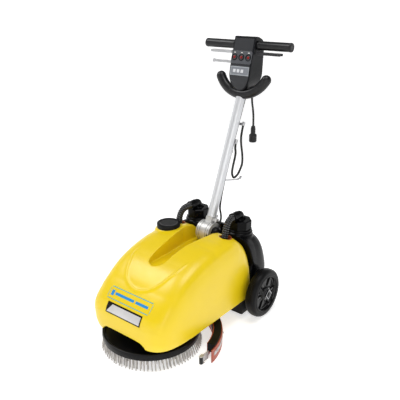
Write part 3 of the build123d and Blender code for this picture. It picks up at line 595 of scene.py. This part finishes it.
def make_filler_cap():
    """The black screw cap, its side finely ribbed."""
    profile = [(0, 371.5), (33, 371.5), (35, 372.6), (42, 372.8), (46.0, 371.4), (47.6, 368.5), (47.6, 349),
               (43, 348), (43, 355), (0, 355)]
    cap = lathe("filler_lid_cap", list(reversed(profile)), FILLER, around=180)
    points = coords(cap)
    rel = points[:, :2] - FILLER[:2]
    radius = np.linalg.norm(rel, axis=1)
    angle = np.arctan2(rel[:, 1], rel[:, 0])
    ribbed = (radius > 46.5) & (points[:, 2] < 369)
    points[ribbed, :2] += (rel * (-0.010 * (1 + np.cos(60 * angle)))[:, None])[ribbed]
    set_coords(cap, points)
    shade(outward(cap), 28)
    return finish_piece(cap, "filler_lid", "black_plastic", MAT["black"], "filler_cap")


# ---- labels -----------------------------------------------
def on_hood_front(x, z, lift):
    """A point on the front of the hood at a height, pushed out of the surface by lift."""
    y0, z0 = HOOD_CENTRE
    low, high = math.pi / 2, math.pi
    for _ in range(40):
        mid = (low + high) / 2
        power = power_of(HOOD_POWER, mid)
        reach = reach_of(HOOD_PROFILE, HOOD_CENTRE, mid)
        rho = (reach + lift) * (1 - (abs(x) / HALF_WIDTH) ** power) ** (1 / power)
        if z0 + rho * math.sin(mid) > z:
            low = mid
        else:
            high = mid
    return (x, y0 + rho * math.cos(mid), z0 + rho * math.sin(mid))


def front_sheet(name, x0, x1, z0, z1, lift, thick, skew=0.0):
    """A thin label that follows the hood's front. skew leans its left end, in millimetres."""
    columns, rows = 24, 6

    def spot(i, j, layer):
        start = x0 + skew * j / rows
        return on_hood_front(start + (x1 - start) * i / columns, z0 + (z1 - z0) * j / rows, layer)
    return sheet(name, columns, rows, (lift + thick, lift - 1.0), spot)


def make_labels():
    """An empty plate and a sticker outline with plain bars: nothing on them can be read."""
    frame_plate = front_sheet("front_plate", -84, 84, 163, 197, 0.2, 1.2)
    finish_piece(frame_plate, "chassis", "black_plastic", MAT["black"])
    field = front_sheet("front_plate_field", -80, 80, 167, 193, 1.4, 0.5, 20)
    finish_piece(field, "chassis", "white_plastic", MAT["pale"])
    x, low, high, cut = 103, 204, 236, 4
    edges = [front_sheet("edge", -x + cut, x - cut, low, low + 1.7, 0.0, 0.5),
             front_sheet("edge", -x + cut, x - cut, high - 1.7, high, 0.0, 0.5),
             front_sheet("edge", -x, -x + 1.7, low + cut, high - cut, 0.0, 0.5),
             front_sheet("edge", x - 1.7, x, low + cut, high - cut, 0.0, 0.5)]
    finish_piece(join("sticker_outline", edges), "chassis", "hood_yellow", MAT["teal"])
    bars = [front_sheet("bar", -92, -78, 213, 227, 0.0, 0.4),
            front_sheet("bar", -72, 20, 217, 224, 0.0, 0.4), front_sheet("bar", 28, 88, 217, 224, 0.0, 0.4)]
    finish_piece(join("sticker_bars", bars), "chassis", "hood_yellow", MAT["blue"])


def make_hose_cups():
    """The orange-lined sockets in the hood that take the hoses."""
    for side, name in ((-1, "left"), (1, "right")):
        ring = [(20, 318), (25.6, 318), (25.6, 347.5), (24.6, 349), (22.8, 349), (21.8, 347), (20, 330)]
        cup = shade(outward(lathe("hose_socket_" + name, ring + [ring[0]],
                                  (side * HOSE_HOLE_X, HOSE_HOLE_Y, 0))), 40)
        finish_piece(cup, "chassis", "orange_plastic", MAT["orange"])


# ---- recovery tank and hoses ------------------------------
TANK_CENTRE = (432.0, 118.0)
TANK_PROFILE = [(390, 118), (390, 170), (391, 216), (389, 246), (380, 280), (366, 305), (353, 322),
                (346, 334), (400, 336), (444, 334), (468, 324), (488, 303), (505, 272), (518, 238),
                (526, 205), (528, 190), (527, 184), (516, 174), (513, 165), (512, 118)]
CUFF_START = 40
RIB_PITCH = 8.2
TANK_POWER = [(0, 4.6), (60, 4.6), (95, 5.4), (120, 9), (150, 14), (180, 16)]


def make_tank():
    """The black tank with its two stepped necks, notched where the pivot stands."""
    tank = fan_skin("recovery_tank_shell", TANK_CENTRE, TANK_PROFILE, TANK_POWER)
    neck = [(0, 300), (56, 300), (54, 326), (51, 331), (50, 334), (52, 336), (52, 339), (49, 341),
            (46.5, 342), (46, 344), (48.5, 345.5), (48.5, 348.5), (46, 350), (43, 351), (0, 351)]
    for side in (-1, 1):
        boolean(tank, lathe("neck", neck, (side * TANK_NECK_X, TANK_NECK_Y, 0)), "UNION")
    boolean(tank, box("notch", -47, 47, 320, 432, 289, 420))
    boolean(tank, box("notch", -60, 60, 320, 385, 289, 420))
    melt(tank, 2.4, 3)
    return finish_piece(tank, "chassis", "black_plastic", MAT["tank"], "recovery_tank")


def arc_points(start, corner, end, count=9):
    """A quadratic bend from start to end that heads for the corner."""
    a, b, c = Vector(start), Vector(corner), Vector(end)
    return [a * (1 - t) ** 2 + b * 2 * t * (1 - t) + c * t * t for t in np.linspace(0, 1, count)]


def elbow_radius(run):
    """The elbow's radius at a distance along it: plain at first, then a thicker cuff with rings."""
    past = run - CUFF_START
    ring = 0.9 if past % 12 < 4 and past > 2 else 0.0
    return 16.4 + 1.6 * float(smooth(past / 3)) + ring


def make_elbows():
    """The caps of the tank's necks, each with an elbow that ends in a ringed cuff."""
    pieces = []
    for side in (-1, 1):
        x = side * TANK_NECK_X
        line = [Vector((x, TANK_NECK_Y, 378)), Vector((x, TANK_NECK_Y, 392))]
        line += arc_points((x, TANK_NECK_Y, 394), (x, 417, 409), (x, 402, 408), 12)
        line += [Vector((x, y, 408)) for y in (396, 390, 389.5, 384, 378, 377.5, 372, 366, 362)]
        pieces.append(shade(sweep("elbow", line, elbow_radius, 40), 40))
        pieces.append(lathe("elbow_base", [(0, 372), (41, 372), (41, 379), (38, 380.4), (24, 381), (19, 384),
                                           (17, 390), (0, 390)], (x, TANK_NECK_Y, 0)))
    elbows = shade(join("tank_elbows", pieces), 40)
    return finish_piece(elbows, "chassis", "black_plastic", MAT["tank"], "hose_elbows")


HOSE_ROUTES = {
    "suction_hose": [(107, 370, 408), (107, 352, 408), (108, 334, 400), (110, 319, 382), (112, 309, 358),
                     (113, 304, 332), (113, 304, 300)],
    "vacuum_hose": [(-107, 370, 408), (-107, 350, 410), (-108, 326, 408), (-110, 307, 393), (-112, 299, 368),
                    (-113, 299, 335), (-113, 304, 300)],
}


def hose_radius(run):
    """The hose's radius at a distance along it: one rib after another."""
    return 10.4 + 3.2 * abs(math.cos(math.pi * run / RIB_PITCH)) ** 0.7


def make_hoses():
    """Corrugated hoses from the elbows into the hood."""
    for node, route in HOSE_ROUTES.items():
        samples = curve_points(route, 420)
        hose = sweep(node + "_corrugated", samples, hose_radius, 32)
        shade(hose, 60)
        finish_piece(hose, "chassis", "grey_plastic", MAT["hose"], node)


# ---- wheels -----------------------------------------------
def make_tyre(name, centre, axis):
    """A tyre with a bead ring on each side and a fine seam round the tread."""
    half = [(72, 22.6), (73, 23.6), (79, 23.6), (80.5, 22.2), (88, 22.6), (93, 20.6), (97, 16.5), (99.2, 11),
            (99.9, 5), (99.9, 1.2), (99.2, 0.6)]
    tread = [(r, -h) for r, h in half] + [(r, h) for r, h in reversed(half)]
    tyre = lathe("wheel_tyre_" + name, tread + [tread[0]], centre, axis, 128)
    shade(outward(tyre), 25)
    finish_piece(tyre, "wheel_" + name, "tyre_rubber", MAT["tyre"], "tyre_" + name)


def make_spoke(centre, side, turn):
    """One raised, tapering spoke of a rim."""
    outline = [(-5.5, 26), (5.5, 26), (4.2, 68), (-4.2, 68)]
    corners = [Vector((side * h, a, b)) for h in (4, 15.5) for a, b in outline]
    points = [tuple(Vector(centre) + turn @ c) for c in corners]
    spoke = bevel(outward(mesh_object("spoke", points, prism_faces(len(outline)))), 1.6, 2)
    return apply_all(spoke)


def make_wheels():
    """Both wheels: tyre, dished rim and six spokes."""
    for side, name in ((-1, "left"), (1, "right")):
        centre = (side * WHEEL_X, AXLE[1], AXLE[2])
        axis = "X" if side > 0 else "-X"
        make_tyre(name, centre, axis)
        ring = [(72, -20), (66, -20), (65, -18), (64, -6), (34, -6), (33, -20), (21.3, -20), (21.3, 20.5),
                (24, 21.3), (27, 20), (29, 15), (33, 11.5), (40, 10), (64, 10), (67, 12), (69.5, 19.4),
                (70.4, 20.6), (71.6, 20.6), (72, 20)]
        rim = lathe("ring", ring + [ring[0]], centre, axis, 96)
        turns = [Matrix.Rotation(math.radians(60 * k + 30), 3, "X") for k in range(6)]
        spokes = [make_spoke(centre, side, turn) for turn in turns]
        whole = shade(join("wheel_rim_" + name, [outward(rim)] + spokes), 30)
        finish_piece(whole, "wheel_" + name, "black_plastic", MAT["rim"], "rim_" + name)


def hub_square(name, side, half, low, high):
    """A square plate with round corners on the axle's end, turned a little, between two distances out."""
    turn = Matrix.Rotation(side * math.radians(40), 3, "X")
    ring = rounded(half, half, 4, 6)
    points = [tuple(Vector((side * h, AXLE[1], AXLE[2])) + turn @ Vector((0, a, b)))
              for h in (low, high) for a, b in ring]
    return outward(mesh_object(name, points, prism_faces(len(ring))))


def make_hubs():
    """The axle, and on each end a dark square cap with a bright raised edge."""
    rod = [outward(lathe("rod", [(0, -256.5), (10, -256.5), (10, 256.5), (0, 256.5)], AXLE, "X", 40))]
    frames = []
    nut = [(0, 259), (6.5, 259), (6.5, 262.4), (5.6, 263.4), (0, 263.4)]
    for side in (-1, 1):
        rod.append(hub_square("cap", side, 17, 256.5, 259.8))
        rod.append(hub_square("boss", side, 9.5, 259.0, 260.6))
        hole = hub_square("edge_hole", side, 12.8, 258.0, 262.0)
        frames.append(boolean(hub_square("edge", side, 15.5, 259.0, 261.2), hole))
        rod.append(outward(lathe("nut", nut, AXLE, "X" if side > 0 else "-X", 24)))
    caps = join("axle_with_caps", rod)
    finish_piece(shade(caps, 30), "chassis", "steel", MAT["rim"], "axle")
    finish_piece(join("axle_cap_edges", frames), "chassis", "steel", MAT["steel"])


# ---- brush ------------------------------------------------
def make_brush():
    """Splayed filaments in tufts at the rim, plainer tufts inside, and the dished block."""
    chance = random.Random(7)
    points, faces = [], []

    def filament(root, tip, width=1.7, sides=3):
        start = len(points)
        first = chance.uniform(0, 2 * math.pi)
        for centre, size in ((root, width), (tip, width * 0.6)):
            for k in range(sides):
                angle = first + 2 * math.pi * k / sides
                points.append((centre[0] + size * math.cos(angle), centre[1] + size * math.sin(angle),
                               centre[2]))
        for k in range(sides):
            after = (k + 1) % sides
            faces.append((start + k, start + after, start + sides + after, start + sides + k))
        faces.append(tuple(start + sides + k for k in range(sides)))
        faces.append(tuple(start + k for k in reversed(range(sides))))

    # each row: its radius, the distance from tuft to tuft, and the filaments in a tuft
    inner = [(70 + 12.4 * k, 17.0, 5) for k in range(7)]
    rows = inner + [(168.5, 12.57, 14), (177.0, 13.2, 16)]
    for number, (radius, pitch, count) in enumerate(rows):
        tufts = round(2 * math.pi * radius / pitch)
        for k in range(tufts):
            offset = 0.5 * (number % 2) if number < len(inner) else 0
            angle = 2 * math.pi * (k + offset) / tufts + chance.gauss(0, 0.004)
            out, along = (math.cos(angle), math.sin(angle)), (-math.sin(angle), math.cos(angle))
            flare = 10.0 * (radius / 177) ** 3 + chance.gauss(0, 0.6)
            lean = chance.gauss(0, 0.7)
            for _ in range(count):
                turn, reach = chance.uniform(0, 2 * math.pi), math.sqrt(chance.random())
                near = (radius + 1.7 * reach * math.cos(turn), 1.5 * reach * math.sin(turn))
                far = (radius + flare + 2.0 * reach * math.cos(turn), lean + 1.8 * reach * math.sin(turn))
                low = chance.uniform(0.2, 1.6)
                root = (near[0] * out[0] + near[1] * along[0], near[0] * out[1] + near[1] * along[1], 37)
                tip = (far[0] * out[0] + far[1] * along[0] + 4, far[0] * out[1] + far[1] * along[1] - 1, low)
                filament(root, tip)
    tufts = mesh_object("brush_tufts", points, faces)
    finish_piece(tufts, "brush", "bristle", MAT["bristle"], "brush_bristles")
    block = [(12, 36.5), (60, 36.5), (181, 36.5), (183, 38.5), (183.5, 47), (183, 58), (181.6, 61),
             (179, 62), (175, 61.5), (172.5, 59), (171, 52), (168, 50.5), (120, 50), (60, 50), (54, 52),
             (52, 57), (46, 58), (12, 58)]
    disc = lathe("brush_disc", block + [block[0]], (0, 0, 0), "Z", 160)
    shade(outward(disc), 25)
    finish_piece(disc, "brush", "black_plastic", MAT["black"], "brush_block")


# ---- handle -----------------------------------------------
HEAD_PROFILE = [(577, 1073), (545, 960), (539.5, 930), (538.5, 900), (540.5, 872)]
LOBE_TOP, LOBE_LOW = 938.0, 866.0


def head_front(z):
    """How far forward the head's face lies at a height."""
    heights = [p[1] for p in reversed(HEAD_PROFILE)]
    depths = [p[0] for p in reversed(HEAD_PROFILE)]
    return float(np.interp(z, heights, depths))


def head_outline():
    """The lower end of the head seen from the front."""
    arc = []
    for k in range(33):
        angle = math.pi + math.pi * k / 32
        arc.append((HEAD_HALF * math.cos(angle), LOBE_TOP + (LOBE_TOP - LOBE_LOW) * math.sin(angle)))
    return arc


def face_sheet(name, outline, lift, thick):
    """A plate that follows the head's face inside an outline of (x, z) rows."""
    columns = 12

    def spot(i, j, layer):
        z, left, right = outline[j]
        return (left + (right - left) * i / columns, head_front(z) - layer, z)
    return sheet(name, columns, len(outline) - 1, (lift + thick, lift - 0.8), spot)


def face_rows(low, high, inset, count=24):
    """Rows of a plate inside the head's front outline."""
    rows = []
    half = HEAD_HALF - inset
    for k in range(count):
        z = low + (high - low) * k / (count - 1)
        drop = max(0.0, LOBE_TOP - z) / (LOBE_TOP - LOBE_LOW - inset)
        width = half * math.sqrt(max(0.02, 1 - drop * drop))
        rows.append((z, -width, width))
    return rows


def make_head():
    """The control head's housing, its face and the silver plate with three plain marks."""
    side = HEAD_PROFILE + [(546, 864), (562, 860), (606, 868), (622, 886), (632, 915), (637, 1000),
                           (640, 1036), (637, 1050), (626, 1061), (608, 1069), (592, 1073)]
    body = prism("head_body", side, -HEAD_HALF, HEAD_HALF, "X")
    front = head_outline() + [(HEAD_HALF, 1090), (-HEAD_HALF, 1090)]
    boolean(body, prism("head_front", front, 500, 700, "Y"), "INTERSECT")
    melt(body, 1.7, 3)
    finish_piece(body, "handle", "grey_plastic", MAT["head"], "head_housing", "head_cover")
    panel = face_sheet("head_face", face_rows(872, 1066, 5.5, 60), 0.3, 0.5)
    finish_piece(shade(panel, 40), "handle", "grey_plastic", MAT["grey"])
    plate = face_sheet("head_plate", [(z, -43.5, 43.5) for z in np.linspace(928, 962, 9)], 0.8, 0.6)
    finish_piece(plate, "handle", "steel", MAT["silver"])
    field = face_sheet("head_plate_field", [(z, -40, 40) for z in np.linspace(931.5, 958.5, 9)], 1.4, 0.3)
    finish_piece(field, "handle", "steel", MAT["plate_field"])
    bars = [face_sheet("bar", [(z, x, x + 12) for z in np.linspace(939, 951, 5)], 1.7, 0.3)
            for x in (-30, -12, 6)]
    finish_piece(join("head_plate_bars", bars), "handle", "grey_plastic", MAT["silver_bar"])


def on_panel(x, y, z):
    """A point in the switch panel's own place: y points into the head."""
    return (x, PANEL_MIDDLE[1] + y * math.cos(PANEL_LEAN) + z * math.sin(PANEL_LEAN),
            PANEL_MIDDLE[2] - y * math.sin(PANEL_LEAN) + z * math.cos(PANEL_LEAN))


def on_panel_at(x, y, z):
    """The same point in the frame's metres."""
    return at(*on_panel(x, y, z))


def panel_slab(name, outline, low, high):
    """A flat piece on the switch panel, from an (x, z) outline and two heights off the panel."""
    points = [on_panel(x, -low, z) for x, z in outline] + [on_panel(x, -high, z) for x, z in outline]
    return outward(mesh_object(name, points, prism_faces(len(outline))))


def make_switch_panel():
    """The paler plate, the three dark bezels and a plain mark over each."""
    plate = bevel(panel_slab("switch_plate", rounded(47, 25, 7, 7), 0.6, 3.0), 0.8, 2)
    finish_piece(plate, "handle", "grey_plastic", MAT["switch_plate"], "switch_panel")
    ring = [(8.7, -8), (13.2, -8), (13.2, 3.6), (12.6, 5.2), (11.2, 5.9), (10.0, 5.2), (9.2, 3.4),
            (8.7, 1.0)]
    bezels, marks = [], []
    for x, _ in SWITCHES:
        bezels.append(outward(lathe("bezel", ring + [ring[0]], (x, 0, 0), "-Y", 40, on_panel_at)))
        for dx, half in ((-3.6, 1.0), (0.2, 2.6)):
            left, right = x + dx - half, x + dx + half
            corners = [(left, 16.6), (right, 16.6), (right, 19.2), (left, 19.2)]
            marks.append(panel_slab("mark", corners, 3.5, 2.8))
    finish_piece(shade(join("switch_bezels", bezels), 35), "handle", "black_plastic", MAT["rim"])
    finish_piece(join("switch_marks", marks), "handle", "white_plastic", MAT["white"])


def make_rockers():
    """The black rocker in each bezel, with its red lens."""
    rocker = [(0, -4), (6.8, -4), (6.8, 2.4), (6.4, 3.2), (5.6, 3.6), (0, 3.6)]
    lens = [(0, 2.5), (5.6, 2.5), (5.6, 4.0), (4.9, 4.8), (2.8, 5.3), (0, 5.5)]
    for x, name in SWITCHES:
        disc = outward(lathe("rocker_disc", rocker, (x, 0, 0), "-Y", 40, on_panel_at))
        finish_piece(shade(disc, 35), "rocker_" + name, "black_plastic", MAT["rim"], "switch_" + name)
        dome = outward(lathe("rocker_lens", lens, (x, 0, 0), "-Y", 32, on_panel_at))
        finish_piece(shade(dome, 50), "rocker_" + name, "switch_red", MAT["red"])


def make_crescent():
    """The bent grab handle with ball ends, and its boss on the tube."""
    lean = math.radians(10.0)
    bend, radius = 122.4, 20.0
    samples = []
    for k in range(97):
        angle = math.radians(-61 + 122 * k / 96)
        up = bend * (1 - math.cos(angle))
        samples.append(Vector((bend * math.sin(angle), 558 + up * math.sin(lean),
                               853 + up * math.cos(lean))))
    tube = sweep("crescent", samples, radius, 40)
    ball = [(radius * math.sin(math.pi * k / 16), -radius * math.cos(math.pi * k / 16)) for k in range(17)]
    ball = [(r if r > 1e-3 else 0.0, h) for r, h in ball]
    ends = [outward(lathe("ball", ball, tuple(tip), "X", 40)) for tip in (samples[0], samples[-1])]
    boss = outward(lathe("boss", [(0, 552), (19, 552), (20.5, 556), (21, 575), (21, 596), (0, 596)],
                         (0, 0, 0), "Z", 40, lambda x, y, z: at(*on_handle(x, y, z))))
    whole = join("crescent_grab", [tube, boss] + ends)
    melt(whole, 1.7, 4)
    finish_piece(whole, "handle", "black_plastic", MAT["foam"], "crescent_grip")


def make_grips():
    """Both hand grips, with a collar by the head and a rounded end."""
    pieces = []
    for axis in ("X", "-X"):
        profile = [(0, 198.2), (11, 198.2), (12.5, 197.2), (14.5, 198.8), (16.4, 198), (17.5, 195.5),
                   (17.5, 192), (17.2, 190), (17.2, 64), (17.6, 62), (18.4, 60), (18.4, 54), (17.4, 52),
                   (0, 52)]
        pieces.append(outward(lathe("grip", profile, (0, 594, 1040), axis, 64)))
    finish_piece(shade(join("hand_grip_pair", pieces), 30), "handle", "rubber_black", MAT["foam"],
                 "hand_grips")


def make_pivot_joints_and_groove_shade():
    """The dark joints between the discs of the pivot, and painted shade for the groove in each outer disc: a
    dark ring stands in for the groove, which is not cut.
    """
    joint_and_groove_rings = []
    # Four dark rings: the ones at the joints between discs are real joints, and the ones for the outer
    # discs' grooves are painted shade.
    for x in (-24.5, -15, 15, 24.5):
        ring = [(20, -0.6), (PIVOT_RADIUS + 0.25, -0.6), (PIVOT_RADIUS + 0.25, 0.6), (20, 0.6)]
        joint_and_groove_rings.append(outward(lathe("seam", ring + [ring[0]], (x, PIVOT[1], PIVOT[2]), "X", 96)))
    finish_piece(shade(join("pivot_joints_and_painted_groove_shade", joint_and_groove_rings), 30), "chassis", "cast_alloy", MAT["dark_metal"])


def make_pivot_cap():
    """The domed cover on the right end of the pivot."""
    profile = [(0, 31.6), (26, 31.6), (26, 40), (25, 46), (22.5, 51), (18, 54.5), (11, 56.8), (0, 57.6)]
    dome = lathe("pivot_cover", profile, PIVOT, "X", 64)
    finish_piece(shade(outward(dome), 35), "handle", "black_plastic", MAT["black"], "pivot_cap")


# ---- cables -----------------------------------------------
def nurbs_cable(name, route, radius, body, node):
    """A cable on a smooth curve through the drawing's route."""
    data = bpy.data.curves.new(name, "CURVE")
    data.dimensions = "3D"
    data.resolution_u = 10
    data.bevel_depth = radius / 1000
    data.bevel_resolution = 5
    data.use_fill_caps = True
    line = data.splines.new("NURBS")
    line.points.add(len(route) - 1)
    for point, place in zip(line.points, route):
        point.co = (*at(*place), 1)
    line.order_u = 3
    line.use_endpoint_u = True
    piece = bpy.data.objects.new(name, data)
    bpy.context.scene.collection.objects.link(piece)
    piece.data.materials.append(MAT["cable"])
    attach(piece, body)
    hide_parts(node)
    tuple(at(*route[0]))
    return piece


def make_cables():
    """The wiring down the tube, its slack in the hook, and the short lead with its socket."""
    wiring = [on_handle(*p) for p in [(6, 28, 616), (0, 28, 520), (0, 28, 118), (32, 23, 70), (43.5, 4, 44),
                                      (43.5, 4, 18)]]
    nurbs_cable("wiring_lead", wiring, 4.0, "handle", "wiring_cable")
    slack = [on_handle(*p) for p in [(20, 36, 460), (20, 36, 425), (24, 40, 384), (27, 70, 338),
                                     (27, 88, 300), (25, 85, 274), (24, 78, 250), (22, 56, 231),
                                     (22, 35, 250), (22, 31, 276), (22, 30, 334), (22, 11, 356),
                                     (22, 11, 381)]]
    nurbs_cable("slack_loop", slack, 4.5, "handle", "slack_cable")
    socket_profile = [(0, 652.5), (11, 652.5), (12, 651.8), (14.2, 652), (16, 655), (16, 682), (14, 684.5),
                      (10.4, 686), (10, 690), (9.8, 704), (10.4, 705), (10.4, 708), (9.2, 709), (9, 714),
                      (6.8, 719.4), (0, 720)]
    socket = shade(outward(lathe("lead_socket", socket_profile, (32, 605, 0), "Z", 48)), 30)
    finish_piece(socket, "handle", "rubber_black", MAT["cable"], "pigtail_socket")
    pigtail = [(24, 600, 890), (24, 600, 840), (25, 602, 812), (29, 605, 782), (32, 605, 752),
               (32, 605, 720)]
    nurbs_cable("pigtail_lead", pigtail, 4.2, "handle", "pigtail_cord")


# ---- carried-over nodes -----------------------------------
KEPT = {
    "black": ["chassis_frame"],
    "channel": ["squeegee_body"],
    "tank": ["tank_ring_left", "tank_ring_right"],
    "white": ["filler_strainer", "vacuum_fan", "water_valve", "float_cage", "float_ball"],
    "steel": ["axle_brackets", "ball_bearings", "frame_bolts", "drive_spindle", "motor_pinion",
              "squeegee_arms", "pivot_pin", "lock_pin", "grip_bar", "grip_lever_left", "release_lever",
              "cable_clips"],
    "alloy": ["gearbox_housing", "pivot_bracket", "pivot_knuckle"],
    "bracket": ["squeegee_hardware"],
    "dark_metal": ["brush_motor", "vacuum_motor", "grip_lever_right"],
    "red_rubber": ["squeegee_front_blade", "squeegee_rear_blade"],
    "tube": ["handle_tube"],
    "cable": ["pigtail_gland", "squeegee_roller_left", "squeegee_roller_right"],
}
SOFT_EDGE = {"tank_ring_left": 2.0, "tank_ring_right": 2.0, "chassis_frame": 3.0, "pivot_bracket": 1.5,
             "pivot_knuckle": 1.5, "squeegee_body": 1.5, "grip_lever_left": 0.6, "grip_lever_right": 0.6,
             "release_lever": 1.5, "squeegee_hardware": 0.4}


def dress_kept():
    """Materials, and rounded edges where they show, for the nodes that keep their own mesh."""
    for material, names in KEPT.items():
        for name in names:
            node = NODES[name]
            node.data.materials.clear()
            node.data.materials.append(MAT[material])
            if name in SOFT_EDGE:
                weld = node.modifiers.new("weld", "WELD")
                weld.merge_threshold = 0.00002
                bevel(node, SOFT_EDGE[name], 3, 30)


make_camera()
make_studio()
make_cables()
make_hood()
make_filler_cap()
make_labels()
make_hose_cups()
make_tank()
make_elbows()
make_hoses()
make_wheels()
make_hubs()
make_brush()
make_head()
make_switch_panel()
make_rockers()
make_crescent()
make_grips()
make_pivot_joints_and_groove_shade()
make_pivot_cap()
dress_kept()
